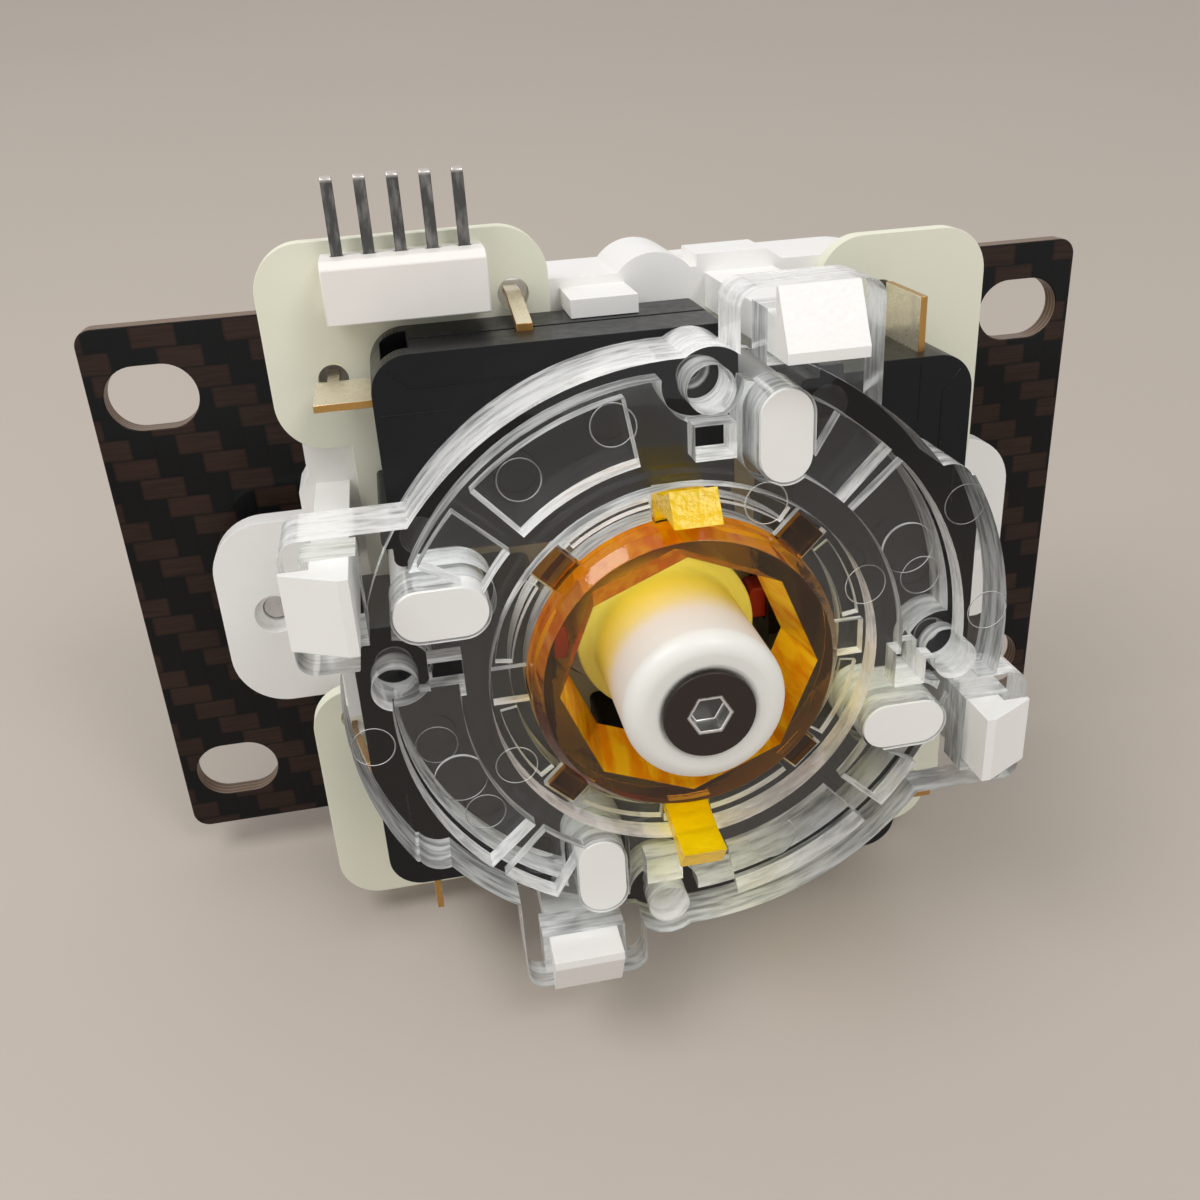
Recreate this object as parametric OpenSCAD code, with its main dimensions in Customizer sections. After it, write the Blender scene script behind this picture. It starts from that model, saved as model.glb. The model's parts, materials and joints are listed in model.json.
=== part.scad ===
// Eight-way arcade joystick lever for a control panel, in its position of use with the ball up.
// The origin is the centre of the mounting plate's upper face, and +Z runs along the shaft to the ball.
// A feature of the front side is placed by its distance along X and its distance out from the shaft axis.

/* [Mounting plate] */
// Length of the plate along X
plate_l = 95; // [94:0.5:120]
// Width of the plate along Y
plate_w = 53; // [51:0.5:70]
// Thickness of the plate
plate_t = 2; // [2:0.1:4]
// Corner radius of the plate
plate_corner_r = 1.6; // [0.5:0.1:4]
// Distance from a slot's centre to the plate's end
slot_end = 5.5; // [5:0.1:8]
// Distance from a slot's centre to the plate's long side
slot_side = 6.5; // [4.5:0.1:8]
// Slot width
slot_w = 5.9; // [3:0.1:7]
// Slot length from end to end
slot_l = 8.2; // [7:0.1:10]

/* [Housing] */
// Height of the housing body under the plate
housing_h = 9.2; // [8.8:0.1:11]
// How far the housing body stands out past the hooks' arms
hook_skirt = 0.6; // [0.2:0.1:1]
// Corner radius of the housing body
housing_corner_r = 8; // [4:0.5:10]
// Outer radius of the collar in the plate's bore
collar_r = 12.4; // [11.4:0.1:14]
// Reach of an ear from the shaft axis
ear_reach = 39; // [38:0.1:40.5]
// Width of an ear
ear_w = 18.4; // [14:0.1:20]
// Thickness of an ear
ear_t = 2.4; // [2:0.1:3.6]
// Drop of an ear's lower face under the plate
ear_drop = 6.3; // [5:0.1:8]
// Distance of an ear's screw from the shaft axis
ear_screw_x = 34.2; // [33.4:0.1:34.8]

/* [Snap hooks] */
// Centre of a hook along its side
hook_along = 10.2; // [10.1:0.05:10.4]
// Width of a hook
hook_w = 6.2; // [5.6:0.1:6.6]
// Room between a hook's arm and the end of a switch
hook_room = 2.4; // [1.8:0.1:3]
// Thickness of a hook's arm
hook_arm_t = 2.9; // [2.2:0.1:3.4]
// How far the barb stands out over the arm
barb_out = 2.2; // [1:0.1:2.4]
// Height of the barb
barb_h = 2.7; // [1.6:0.1:3]

/* [Circuit board] */
// Thickness of the circuit board
board_t = 1.6; // [1.2:0.1:2]
// Reach of the board's tabs from the shaft axis
board_tab_out = 32.2; // [31.8:0.1:34]
// Reach of the tab under the header
header_tab_out = 33.7; // [32.5:0.1:35]
// Corner radius of the tabs
board_corner_r = 4; // [2:0.5:5]

/* [Header] */
// Number of header pins
pin_count = 5; // [2:1:5]
// Distance between header pins
pin_pitch = 2.5; // [2:0.1:2.5]
// Side of a square pin
pin_side = 0.9; // [0.6:0.05:1]
// How far the pins stand out of the header
pin_reach = 5.9; // [3:0.1:7]
// Height of the header body
header_h = 5; // [4.6:0.1:5.6]
// Depth of the header body
header_d = 4.8; // [4.6:0.1:5.4]

/* [Microswitches] */
// Length of a switch case
switch_l = 27.8; // [27.4:0.1:28]
// Height of a switch case, outward from the shaft axis
switch_h = 15.9; // [15.6:0.1:16.2]
// Thickness of a switch case
switch_t = 10.3; // [10:0.1:11]
// Distance of a case's inner face from the shaft axis
switch_in = 10.6; // [10.5:0.05:10.8]
// Plunger width along the case
plunger_w = 3; // [2.4:0.1:3.4]
// Plunger thickness across the case
plunger_t = 2.9; // [2.2:0.1:3.2]
// Rest gap between a plunger and the actuator
plunger_gap = 0.5; // [0.5:0.05:0.9]

/* [Clear guide base] */
// Height of the guide base over the switches
guide_h = 7.1; // [6.9:0.1:8]
// Radius of the guide base
guide_r = 25.9; // [25.8:0.05:26.2]
// Radius of the wider flanks
flank_r = 27.6; // [27:0.1:28.2]
// Thickness of the slab
slab_t = 3.6; // [3.4:0.1:4]
// Depth of the shaped pockets
pocket_d = 2; // [1:0.1:2.4]
// Thickness of a clip loop's outer bar
loop_bar = 1.5; // [1.2:0.1:1.8]
// Depth of a clip loop along the shaft
loop_h = 5.8; // [4:0.1:6.4]

/* [Restrictor insert] */
// Outer radius of the insert
insert_r = 12.8; // [12.6:0.05:13.2]
// Wall left outside the octagon's corners at its near edge
gate_near_wall = 2.1; // [1.8:0.05:2.1]
// Wall left outside the octagon's corners at its throat
gate_throat_wall = 3.05; // [2.85:0.05:3.05]
// Overall height of the insert without its tabs
insert_h = 6.5; // [6.2:0.1:6.8]
// Width of a latch tab
tab_w = 3.7; // [3:0.1:4]

/* [Lever] */
// Radius of the shaft
shaft_r = 4; // [3.6:0.05:4.05]
// Radius of the pivot ball
pivot_r = 7.5; // [7.2:0.05:7.55]
// Depth of the pivot's centre below the plate's upper face
pivot_depth = 7.5; // [7.4:0.1:8]
// Wall of the pivot liner
liner_t = 1.2; // [0.9:0.05:1.25]
// Radius of the actuator at the plungers
actuator_r = 7.9; // [7.7:0.05:7.95]
// Radius of the actuator in the gate
actuator_neck_r = 6.5; // [6:0.05:6.5]
// Depth of the actuator's near end
actuator_depth = 36.4; // [36:0.1:38]
// Radius of the ball top
ball_top_r = 17.5; // [15:0.5:20]
// Height of the ball top's centre over the plate
ball_top_z = 42.5; // [36:0.5:50]
// Wire radius of the return spring
wire_r = 0.45; // [0.3:0.05:0.5]
// Turns of the return spring
spring_turns = 3.5; // [2.5:0.5:4.5]

/* [Hidden] */

round_fn = 96;
small_fn = 48;
cut = 1;

// Clearances
seat_gap = 0.05;
slide_gap = 0.2;
ball_gap = 0.08;
spin_gap = 0.05;
hook_gap = 0.1;

// Levels of the stack, as heights
board_seat_z = -(plate_t + housing_h);
switch_seat_z = board_seat_z - board_t;
switch_mid_z = switch_seat_z - switch_t / 2;
guide_seat_z = switch_seat_z - switch_t;
guide_face_z = guide_seat_z - guide_h;

// Plate screws
screw_r = 1.2;
screw_head_r = 2.7;
screw_head_h = 1.5;
screw_key_r = 0.9;
screw_key_d = 0.9;
screw_l = 6.6;

// Housing details
collar_drop = 0.2;
ear_corner_r = 5;
ear_boss_r = 4;
ear_hole_r = 1.9;
ear_hole_d = 1.3;
spring_face_drop = 0.9;
bowl_wall = 1.3;
post_along = 8.15;
post_out = 19.1;
post_w = 4.1;
post_l = 7.3;
post_drop = 0.1;
rib_boss_r = 4.2;
rib_boss_along = 2.6;
rib_boss_out = 26.1;
root_left = 6.4;
root_bevel = 12.6;
root_right = 15.2;
root_out = 29.8;
root_bevel_out = 28;
root_h = 5.2;
ledge_along = -2.8;
ledge_w = 5.6;
ledge_t = 1.5;
ledge_h = 4;
leg_pocket_r = 1.7;
leg_pocket_d = 1.6;
barb_flat = 0.8;
barb_land = 0.4;

// Circuit board details
tab_left = -30.4;
tab_right = -6.7;
tab_in = 16.8;
board_core_gap = 0.7;
board_bore_gap = 0.4;
common_hole_r = 1.25;
open_hole_r = 1.3;

// Header details
header_along = -18.4;
header_front_out = 32.7;
header_end = 1.4;
header_slope_d = 0.5;
header_slope_h = 0.8;
pin_row_h = 1.5;
pin_leg_in = 2.8;
pin_leg_drop = 0.8;
pin_hole_r = 0.72;
pin_tip = 0.25;

// Switch details
switch_right = 5.7;
switch_corner_r = 3;
switch_small_r = 0.7;
groove_w = 0.4;
groove_d = 0.3;
latch_w = 2.2;
latch_d = 1.1;
latch_h = 6;
latch_inset = 1;
bump_w = 0.8;
bump_in = 12.2;
bump_l = 2.2;
eye_r = 1.55;
eye_along = 2.31;
eye_out = 23.34;
far_eye_along = -19.9;
far_eye_out = 13;
nose_l = 5.4;
nose_h = 0.7;
plunger_in = 5;
plunger_stop = 1.4;
plunger_round = 1;

// Terminal details
terminal_t = 0.6;
common_out = 22.6;
common_reach = 4.5;
common_w = 7;
common_leg_along = -25.2;
common_leg_w = 1;
terminal_root = 1.2;
open_along = -9.7;
open_leg_out = 28.2;
open_leg_w = 1.3;
open_root_z_share = 0.62;
terminal_leg_drop = 1;

// Guide base details
guide_wall_r = 23.8;
flank_lo = -14.2;
flank_hi = 4.4;
lobe_r = 2.2;
lobe_out = 25.2;
lobe_a = -31.5;
bore_lobe_r = 3.2;
bore_r = 1.85;
bore_d = 4.6;
peg_r = 1.45;
peg_l = 3;
pocket_in_r = 18.4;
mark_r = 2.2;
mark_h = 0.3;
mark_along = -7.8;
mark_out = 19.2;
post_ring_w = 0.8;
catch_along = 2.6;
catch_out = 19.3;
catch_l = 2.7;
catch_w = 3.2;
rail_thick = 2;
rail_thin = 1.6;
loop_left = 4.5;
loop_right = 15.5;
loop_corner_r = 1.5;
loop_gap = 0.6;
well_r = 16.1;
well_d = 2.2;
well_floor_t = 1.8;
tube_wall = 1.2;
tube_drop = 2.2;
notch_r = 15.8;
notch_w = 3.2;
notch_d = 1.1;
panel_in_r = 14.1;
panel_out_r = 15.5;
panel_d = 0.7;
panel_half_a = 14;
// Start and end of each pocket in degrees, anticlockwise from +X seen from above
pocket_angles = [[-42.5, 5], [-59, -46], [-132, -100], [-149, -137]];

// Insert details
insert_face_drop = 0.8;
rim_h = 1.1;
rim_w = 0.8;
tooth_w = 2.8;
tooth_out = 15.5;
tooth_t = 1.35;
tab_arm_in = 13.9;
tab_arm_out = 15.2;
tab_lean = 0.7;
tab_barb_out = 17;
tab_barb_drop = 2.9;
tab_neck_drop = 0.8;
tab_top = 4.5;

// Pivot details
pivot_flat = 5.5;
liner_top = 1.5;
liner_low = 5.2;
clip_t = 0.8;
clip_r = 6.1;
clip_gap = 0.1;
groove_r = 3.3;
seat_ring_t = 1;
seat_ring_in = 5.45;
seat_ring_out = 7.6;
seat_lip_t = 0.5;
seat_lip_w = 0.6;

// Actuator details
rim_z = -16.3;
step_z = -22.5;
step_fillet = 0.6;
cup_r = 6.7;
cup_z = -21.6;
near_fillet = 1.6;
nose_t = 6.4;
screw_shank_r = 1.95;
screw_shank_l = 8;
head_r = 3.66;
head_land = 0.35;
head_proud = 0.4;
head_recess_r = 4;
head_cone_h = 1.8;
hex_af = 2.7;
hex_d = 1.6;

// Shaft top and ball
thread_r = 3;
thread_l = 11;
ball_flat_drop = 1.3;
spring_mean_r = 5.85;
spring_sides = 8;
spring_steps = 20;

slot_pitch_x = plate_l - 2 * slot_end;
slot_pitch_y = plate_w - 2 * slot_side;
hook_in = switch_l - switch_right + bump_w + hook_room;
housing_side = 2 * (hook_in + hook_arm_t + hook_skirt);
board_core = 2 * (hook_in - board_core_gap);
loop_out = hook_in + hook_arm_t + loop_gap + loop_bar;
window_in = hook_in - loop_gap;
shaft_low_z = -actuator_depth + nose_t;
pivot_z = -pivot_depth;
liner_in_r = pivot_r + ball_gap;
liner_out_r = liner_in_r + liner_t;
socket_r = liner_out_r + ball_gap;
bowl_r = switch_in - slide_gap * 2;
spring_face_z = switch_seat_z - spring_face_drop;
spring_seat_z = spring_face_z - seat_ring_t;
switch_out = switch_in + switch_h;
switch_left = switch_right - switch_l;
plunger_tip = actuator_r + plunger_gap;
window_left = loop_left + rail_thick;
window_right = loop_right - rail_thin;
well_z = guide_face_z + well_d;
insert_bore_r = insert_r + seat_gap * 3;
gate_near_r = insert_r - gate_near_wall;
gate_throat_r = insert_r - gate_throat_wall;
insert_near_z = guide_face_z - insert_face_drop;
insert_far_z = insert_near_z + insert_h;
tooth_far_z = well_z + notch_d - seat_gap;
tab_root_z = tooth_far_z - tooth_t;
ball_flat_z = ball_top_z - ball_top_r + ball_flat_drop;
clip_z = pivot_z + pivot_flat + clip_gap;
header_pin_z = switch_seat_z - pin_row_h;
pin_leg_out = header_front_out - pin_leg_in;
head_z = -actuator_depth - head_proud;
countersink_z = head_z + head_land + head_recess_r;
screw_tip_z = head_z + head_cone_h + screw_shank_l;

// Shapes

module layer(low, high) {
    translate([0, 0, low]) linear_extrude(high - low) children();
}

module disc(r, low, high, fn = round_fn) {
    translate([0, 0, low]) cylinder(r = r, h = high - low, $fn = fn);
}

module cone(r_low, r_high, low, high, fn = small_fn) {
    translate([0, 0, low]) cylinder(r1 = r_low, r2 = r_high, h = high - low, $fn = fn);
}

module round_rect(w, h, r) {
    square([w - 2 * r, h], center = true);
    square([w, h - 2 * r], center = true);
    for (sx = [-1, 1], sy = [-1, 1])
        translate([sx * (w / 2 - r), sy * (h / 2 - r)]) circle(r = r, $fn = small_fn);
}

// Rectangle from one corner to the other, with all four corners rounded
module round_box(x0, y0, x1, y1, r) {
    translate([(x0 + x1) / 2, (y0 + y1) / 2]) round_rect(x1 - x0, y1 - y0, r);
}

// Slot outline with its long axis along X
module stadium(l, w) {
    square([l - w, w], center = true);
    for (s = [-1, 1]) translate([s * (l - w) / 2, 0]) circle(d = w, $fn = small_fn);
}

// Part of a flat ring between two radii and two angles
module ring_sector(r_in, r_out, a0, a1) {
    reach = 2 * r_out;
    mid = (a0 + a1) / 2;
    intersection() {
        difference() {
            circle(r = r_out, $fn = round_fn);
            circle(r = r_in, $fn = round_fn);
        }
        polygon([
            [0, 0],
            reach * [cos(a0), sin(a0)],
            reach * [cos(mid), sin(mid)],
            reach * [cos(a1), sin(a1)]
        ]);
    }
}

module four_sides() {
    for (side = [0 : 3]) rotate(90 * side) children();
}

// Profile of distance out and height on the front side, with its width centred at a place along X
module side_profile(along, w) {
    translate([along - w / 2, 0, 0]) rotate([90, 0, 90]) linear_extrude(w) mirror([1, 0]) children();
}

// Mounting plate

module mounting_plate() {
    color([0.13, 0.11, 0.10]) difference() {
        layer(-plate_t, 0) round_rect(plate_l, plate_w, plate_corner_r);
        disc(collar_r + slide_gap, -plate_t - cut, cut);
        for (sx = [-1, 1], sy = [-1, 1])
            translate([sx * slot_pitch_x / 2, sy * slot_pitch_y / 2, 0])
                layer(-plate_t - cut, cut) stadium(slot_l, slot_w);
        for (sx = [-1, 1]) translate([sx * ear_screw_x, 0, 0]) {
            disc(screw_r + seat_gap, -plate_t - cut, cut, small_fn);
            cone(screw_r + seat_gap, screw_head_r + seat_gap, -screw_head_h, 0);
        }
    }
}

module plate_screws() {
    color([0.75, 0.75, 0.76]) for (sx = [-1, 1]) translate([sx * ear_screw_x, 0, 0]) difference() {
        union() {
            cone(screw_r, screw_head_r, -screw_head_h, 0);
            disc(screw_r, -screw_l, -screw_head_h, small_fn);
        }
        disc(screw_key_r, -screw_key_d, cut, 6);
    }
}

// Housing

module hook() {
    seat = guide_face_z - hook_gap;
    tip = seat - barb_h;
    out = hook_in + hook_arm_t;
    side_profile(hook_along, hook_w) polygon([
        [hook_in, board_seat_z],
        [hook_in, tip],
        [hook_in + barb_flat, tip],
        [out + barb_out, seat - barb_land],
        [out + barb_out, seat],
        [out, seat],
        [out, board_seat_z]
    ]);
}

module housing_side_parts() {
    hook();
    layer(board_seat_z, board_seat_z + root_h) polygon([
        [root_left, -hook_in],
        [root_left, -root_out],
        [root_bevel, -root_out],
        [root_right, -root_bevel_out],
        [root_right, -hook_in]
    ]);
    translate([rib_boss_along, -rib_boss_out, 0]) disc(rib_boss_r, board_seat_z, -plate_t, small_fn);
    side_profile(ledge_along, ledge_w) polygon([
        [switch_out + seat_gap, -plate_t],
        [switch_out + seat_gap, switch_seat_z - ledge_h],
        [switch_out + seat_gap + ledge_t, switch_seat_z - ledge_h],
        [switch_out + seat_gap + ledge_t, -plate_t]
    ]);
    translate([post_along, -post_out, 0])
        layer(guide_face_z + post_drop, board_seat_z) rotate(90) stadium(post_l, post_w);
}

module main_housing() {
    color([0.95, 0.94, 0.91]) difference() {
        union() {
            layer(board_seat_z, -plate_t) round_rect(housing_side, housing_side, housing_corner_r);
            layer(-plate_t - ear_drop, -plate_t - ear_drop + ear_t)
                round_rect(2 * ear_reach, ear_w, ear_corner_r);
            for (sx = [-1, 1]) translate([sx * ear_screw_x, 0, 0])
                disc(ear_boss_r, -plate_t - ear_drop, -plate_t, small_fn);
            disc(collar_r, -plate_t, -collar_drop);
            disc(bowl_r, spring_face_z, board_seat_z);
            four_sides() housing_side_parts();
        }
        translate([0, 0, pivot_z]) sphere(r = socket_r, $fn = round_fn);
        disc(socket_r, pivot_z, cut);
        for (sx = [-1, 1]) translate([sx * ear_screw_x, 0, 0]) {
            disc(screw_r + seat_gap, -plate_t - ear_drop - cut, -plate_t + cut, small_fn);
            disc(ear_hole_r, -plate_t - ear_drop - cut, -plate_t - ear_drop + ear_hole_d, small_fn);
        }
        four_sides() {
            translate([common_leg_along, -common_out, 0])
                disc(leg_pocket_r, board_seat_z - cut, board_seat_z + leg_pocket_d, small_fn);
            translate([open_along, -open_leg_out, 0])
                disc(leg_pocket_r, board_seat_z - cut, board_seat_z + leg_pocket_d, small_fn);
        }
    }
}

// Circuit board and header

module board_outline() {
    square([board_core, board_core], center = true);
    four_sides() round_box(tab_left, -board_tab_out, tab_right, -tab_in, board_corner_r);
    round_box(tab_left, -header_tab_out, tab_right, -tab_in, board_corner_r);
}

module circuit_board() {
    color([0.80, 0.83, 0.70]) difference() {
        layer(switch_seat_z, board_seat_z) board_outline();
        disc(bowl_r + board_bore_gap, switch_seat_z - cut, board_seat_z + cut);
        four_sides() {
            translate([post_along, -post_out, 0])
                layer(switch_seat_z - cut, board_seat_z + cut)
                    rotate(90) stadium(post_l + 2 * slide_gap, post_w + 2 * slide_gap);
            translate([common_leg_along, -common_out, 0])
                disc(common_hole_r, switch_seat_z - cut, board_seat_z + cut, small_fn);
            translate([open_along, -open_leg_out, 0])
                disc(open_hole_r, switch_seat_z - cut, board_seat_z + cut, small_fn);
        }
        header_row() translate([0, -pin_leg_out, 0])
            disc(pin_hole_r, switch_seat_z - cut, board_seat_z + cut, small_fn);
    }
}

module header_row() {
    for (i = [0 : pin_count - 1])
        translate([header_along + (i - (pin_count - 1) / 2) * pin_pitch, 0, 0]) children();
}

module pin_path(gap) {
    tip = header_front_out + pin_reach;
    half = pin_side / 2 + gap;
    side_profile(0, pin_side + 2 * gap) polygon([
        [tip - pin_tip, header_pin_z + half],
        [tip, header_pin_z + half - pin_tip],
        [tip, header_pin_z - half + pin_tip],
        [tip - pin_tip, header_pin_z - half],
        [pin_leg_out - half, header_pin_z - half],
        [pin_leg_out - half, board_seat_z + pin_leg_drop],
        [pin_leg_out + half, board_seat_z + pin_leg_drop],
        [pin_leg_out + half, header_pin_z + half]
    ]);
}

module header_body() {
    header_l = (pin_count - 1) * pin_pitch + 2 * header_end;
    low = switch_seat_z - header_h;
    color([0.96, 0.95, 0.92]) difference() {
        side_profile(header_along, header_l) polygon([
            [header_front_out, switch_seat_z],
            [header_front_out, low + header_slope_h],
            [header_front_out - header_slope_d, low],
            [header_front_out - header_d, low],
            [header_front_out - header_d, switch_seat_z]
        ]);
        header_row() pin_path(seat_gap);
    }
}

module header_pins() {
    color([0.62, 0.61, 0.58]) header_row() pin_path(0);
}

// Microswitches

module switch_outline() {
    difference() {
        round_box(switch_left, -switch_out, switch_right, -switch_in, switch_small_r);
        translate([switch_left - cut, -switch_out - cut])
            square([switch_corner_r + cut, switch_corner_r + cut]);
    }
    translate([switch_left + switch_corner_r, -switch_out + switch_corner_r])
        circle(r = switch_corner_r, $fn = small_fn);
    round_box(switch_left - bump_w, -bump_in - bump_l, switch_left + bump_w, -bump_in, bump_w / 2);
}

// Tab that leaves the end of the case and steps down to the board
module common_terminal(gap) {
    low = switch_mid_z - common_w / 2;
    translate([0, -common_out, 0]) rotate([90, 0, 0])
        translate([0, 0, -terminal_t / 2 - gap]) linear_extrude(terminal_t + 2 * gap) {
            translate([switch_left - common_reach, low - gap])
                square([common_reach + terminal_root, common_w + 2 * gap]);
            translate([common_leg_along - common_leg_w / 2, low])
                square([common_leg_w, board_seat_z + terminal_leg_drop - low]);
        }
}

// Slanted leg that leaves the outer side of the case and runs to the board
module open_terminal(gap) {
    root_z = switch_seat_z - switch_t * open_root_z_share;
    side_profile(open_along, open_leg_w + 2 * gap) polygon([
        [switch_out - terminal_root, root_z - gap],
        [switch_out + terminal_t, root_z - gap],
        [open_leg_out + terminal_t / 2, switch_seat_z],
        [open_leg_out + terminal_t / 2, board_seat_z + terminal_leg_drop],
        [open_leg_out - terminal_t / 2, board_seat_z + terminal_leg_drop],
        [open_leg_out - terminal_t / 2, switch_seat_z],
        [switch_out, root_z + terminal_t + gap],
        [switch_out - terminal_root, root_z + terminal_t + gap]
    ]);
}

module plunger_stem(gap, tip, back) {
    layer(switch_mid_z - plunger_t / 2 - gap, switch_mid_z + plunger_t / 2 + gap)
        translate([-plunger_w / 2 - gap, -back]) square([plunger_w + 2 * gap, back - tip]);
}

module switch_case() {
    latch_low = switch_mid_z - latch_h / 2;
    color([0.07, 0.07, 0.08]) difference() {
        union() {
            layer(guide_seat_z, switch_seat_z) switch_outline();
            layer(switch_mid_z - nose_l / 2, switch_mid_z + nose_l / 2)
                translate([-nose_l / 2, -switch_in]) square([nose_l, nose_h]);
        }
        layer(switch_mid_z - groove_w / 2, switch_mid_z + groove_w / 2)
            translate([switch_left + switch_corner_r, -switch_out - cut])
                square([switch_l, groove_d + cut]);
        layer(latch_low, latch_low + latch_h)
            translate([switch_left + latch_inset, -switch_out - cut])
                square([latch_w, latch_d + latch_inset + cut]);
        plunger_stem(slide_gap, switch_in - nose_h - cut, plunger_tip + plunger_in + plunger_stop);
        for (eye = [[eye_along, eye_out], [far_eye_along, far_eye_out]])
            translate([eye.x, -eye.y, 0]) disc(eye_r, guide_seat_z - cut, switch_seat_z + cut, small_fn);
        common_terminal(seat_gap);
        open_terminal(seat_gap);
    }
}

module switch_terminals() {
    color([0.80, 0.66, 0.38]) {
        common_terminal(0);
        open_terminal(0);
    }
}

module plunger() {
    color([0.75, 0.10, 0.05]) {
        plunger_stem(0, plunger_tip + plunger_round, plunger_tip + plunger_in);
        intersection() {
            plunger_stem(0, plunger_tip, plunger_tip + plunger_round);
            translate([0, -plunger_tip - plunger_w, switch_mid_z - plunger_t])
                cylinder(r = plunger_w, h = 2 * plunger_t, $fn = small_fn);
        }
    }
}

// Clear guide base

module guide_outline() {
    circle(r = guide_r, $fn = round_fn);
    for (turn = [0, 180]) rotate(turn) {
        intersection() {
            circle(r = flank_r, $fn = round_fn);
            translate([0, flank_lo]) square([flank_r, flank_hi - flank_lo]);
        }
        rotate(lobe_a) translate([lobe_out, 0]) circle(r = lobe_r, $fn = small_fn);
    }
    four_sides() translate([eye_along, -eye_out]) circle(r = bore_lobe_r, $fn = small_fn);
}

module guide_loop() {
    layer(guide_face_z, guide_face_z + loop_h)
        round_box(loop_left, -loop_out, loop_right, -pocket_in_r, loop_corner_r);
}

module guide_base() {
    slab_far_z = guide_face_z + slab_t;
    color([0.82, 0.84, 0.84, 0.45]) difference() {
        union() {
            difference() {
                union() {
                    layer(guide_face_z, guide_seat_z) guide_outline();
                    four_sides() guide_loop();
                }
                disc(guide_wall_r, slab_far_z, guide_seat_z + cut);
            }
            disc(insert_bore_r + tube_wall, slab_far_z - cut, slab_far_z + tube_drop);
            four_sides() {
                translate([post_along, -post_out, 0])
                    layer(slab_far_z - cut, guide_seat_z)
                        rotate(90) stadium(post_l + 2 * post_ring_w, post_w + 2 * post_ring_w);
                translate([eye_along, -eye_out, 0]) {
                    disc(bore_lobe_r, slab_far_z - cut, guide_seat_z, small_fn);
                    disc(peg_r, guide_seat_z - cut, guide_seat_z + peg_l, small_fn);
                }
            }
        }
        disc(well_r, guide_face_z - cut, well_z);
        disc(insert_bore_r, guide_face_z - cut, guide_seat_z + cut);
        for (turn = [0, 180], a = pocket_angles)
            rotate(turn) layer(guide_face_z - cut, guide_face_z + pocket_d)
                ring_sector(pocket_in_r, guide_wall_r, a.x, a.y);
        for (i = [0 : 7]) rotate(45 * i) {
            w = i % 4 == 2 ? tab_w + 2 * slide_gap : notch_w;
            layer(well_z - cut, well_z + notch_d)
                translate([0, -w / 2]) square([notch_r, w]);
            rotate(22.5) layer(well_z - cut, well_z + panel_d)
                ring_sector(panel_in_r, panel_out_r, -panel_half_a, panel_half_a);
        }
        four_sides() {
            translate([post_along, -post_out, 0])
                layer(guide_face_z - cut, guide_seat_z + cut)
                    rotate(90) stadium(post_l + 2 * slide_gap, post_w + 2 * slide_gap);
            translate([eye_along, -eye_out, 0])
                disc(bore_r, guide_face_z - cut, guide_face_z + bore_d, small_fn);
            layer(guide_face_z - cut, slab_far_z + cut)
                translate([catch_along, -catch_out]) square([catch_w, catch_l], center = true);
            layer(guide_face_z - cut, guide_seat_z + cut)
                translate([window_left, -loop_out + loop_bar])
                    square([window_right - window_left, loop_out - loop_bar - window_in]);
        }
    }
    color([0.82, 0.84, 0.84, 0.45]) for (turn = [90, 180, 270]) rotate(turn)
        translate([mark_along, -mark_out, 0])
            disc(mark_r, guide_face_z + pocket_d - mark_h, guide_face_z + pocket_d + mark_h, small_fn);
}

// Amber restrictor insert

module octagon_guide() {
    color([0.90, 0.52, 0.08, 0.75]) {
        difference() {
            union() {
                disc(insert_r, insert_near_z + rim_h, insert_far_z);
                cone(insert_r - rim_w, insert_r, insert_near_z, insert_near_z + rim_h, round_fn);
            }
            gate_opening();
        }
        difference() {
            union() {
                for (a = [45 : 90 : 315]) rotate(a)
                    layer(tooth_far_z - tooth_t, tooth_far_z)
                        translate([insert_r - rim_w, -tooth_w / 2])
                            square([tooth_out - insert_r + rim_w, tooth_w]);
                for (turn = [0, 180]) rotate(turn) latch_tab();
            }
            disc(insert_r - seat_gap, insert_near_z - tab_top, insert_far_z);
        }
    }
}

module gate_opening() {
    slope = (gate_near_r - gate_throat_r) / insert_h;
    cone(gate_near_r + slope * cut, gate_throat_r - slope * cut, insert_near_z - cut, insert_far_z + cut, 8);
}

// Sprung tab that leans out of the collar and ends in a slanted barb
module latch_tab() {
    side_profile(0, tab_w) polygon([
        [insert_r - rim_w, tooth_far_z],
        [tab_arm_out, tooth_far_z],
        [tab_arm_out + tab_lean, insert_near_z],
        [tab_barb_out, guide_face_z - tab_barb_drop],
        [tab_arm_in + tab_lean, guide_face_z - tab_top],
        [tab_arm_in + tab_lean, insert_near_z - tab_neck_drop],
        [tab_arm_in, tab_root_z],
        [insert_r - rim_w, tab_root_z]
    ]);
}

// Pivot

module pivot_liner() {
    color([0.25, 0.25, 0.27]) translate([0, 0, pivot_z]) difference() {
        intersection() {
            sphere(r = liner_out_r, $fn = round_fn);
            disc(liner_out_r, -liner_low, liner_top);
        }
        sphere(r = liner_in_r, $fn = round_fn);
    }
}

module pivot_ball() {
    color([0.90, 0.89, 0.85]) translate([0, 0, pivot_z]) difference() {
        intersection() {
            sphere(r = pivot_r, $fn = round_fn);
            disc(pivot_r, -pivot_flat, pivot_flat);
        }
        disc(shaft_r + spin_gap, -pivot_r, pivot_r);
    }
}

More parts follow.
